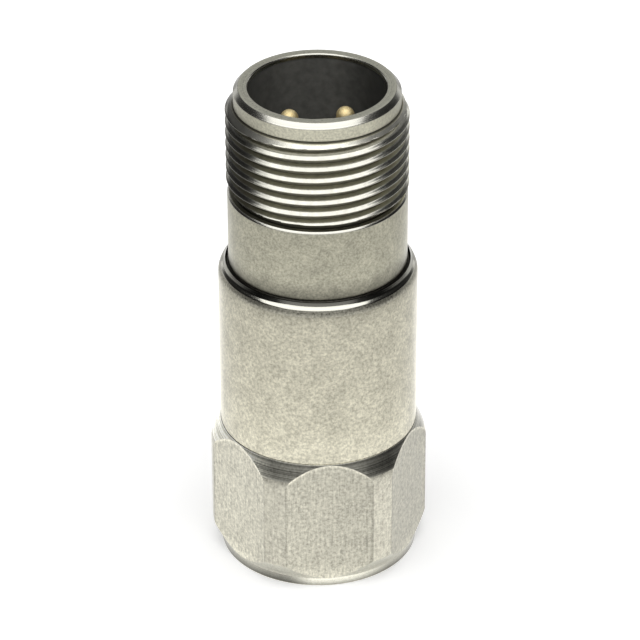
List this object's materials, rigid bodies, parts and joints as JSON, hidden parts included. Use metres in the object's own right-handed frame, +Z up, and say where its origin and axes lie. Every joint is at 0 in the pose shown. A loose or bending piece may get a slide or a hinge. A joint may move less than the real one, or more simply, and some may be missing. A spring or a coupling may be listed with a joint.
{
  "type": "vibration sensor",
  "caption": "Stud-mounted industrial vibration sensor: hexagon base, welded steel case, and a threaded pin connector on top.",
  "frame": {"origin": "centre of the mounting face, under the base", "axes": "+Z up along the sensor's axis to the connector; the polarising key and a wrench flat face -Y; the pins lie along X"},
  "size_m": [0.019, 0.0174, 0.0452],
  "materials": {
    "base_steel": "drawn flats, turned cones",
    "case_steel": "fine blasted, polished shoulder",
    "shell_steel": "fine turned",
    "insert_black": "moulded, matte",
    "inner_steel": "turned",
    "seal_glass": "fused",
    "pin_gold": "gold plated",
    "lead_red": "extruded",
    "lead_black": "extruded",
    "white_ceramic": "ground",
    "piezo_ceramic": "fired, silvered faces",
    "foil_brass": "rolled",
    "mass_metal": "sintered and ground",
    "spacer_plastic": "machined",
    "board_green": "laminate",
    "chip_black": "moulded",
    "capacitor_tan": "fired",
    "shield_brass": "drawn sheet",
    "sleeve_amber": "film"
  },
  "bodies": {
    "root": {"base": "base_steel", "case": "case_steel", "connector_shell": "shell_steel", "connector_insert": "insert_black", "seal_header": "inner_steel", "glass_bead_a": "seal_glass", "glass_bead_b": "seal_glass", "contact_pin_a": "pin_gold", "contact_pin_b": "pin_gold", "output_lead_a": "lead_red", "output_lead_b": "lead_black", "base_insulator": "white_ceramic", "element_post": "inner_steel", "piezo_plate_front": "piezo_ceramic", "piezo_plate_rear": "piezo_ceramic", "contact_foil_front": "foil_brass", "contact_foil_rear": "foil_brass", "seismic_mass_front": "mass_metal", "seismic_mass_rear": "mass_metal", "preload_bolt": "inner_steel", "preload_nut": "inner_steel", "board_spacer": "spacer_plastic", "circuit_board": "board_green", "amplifier_chip": "chip_black", "filter_capacitor": "capacitor_tan", "bias_resistor": "chip_black", "gain_resistor": "chip_black", "shield_can": "shield_brass", "insulating_sleeve": "sleeve_amber"}
  },
  "joints": []
}
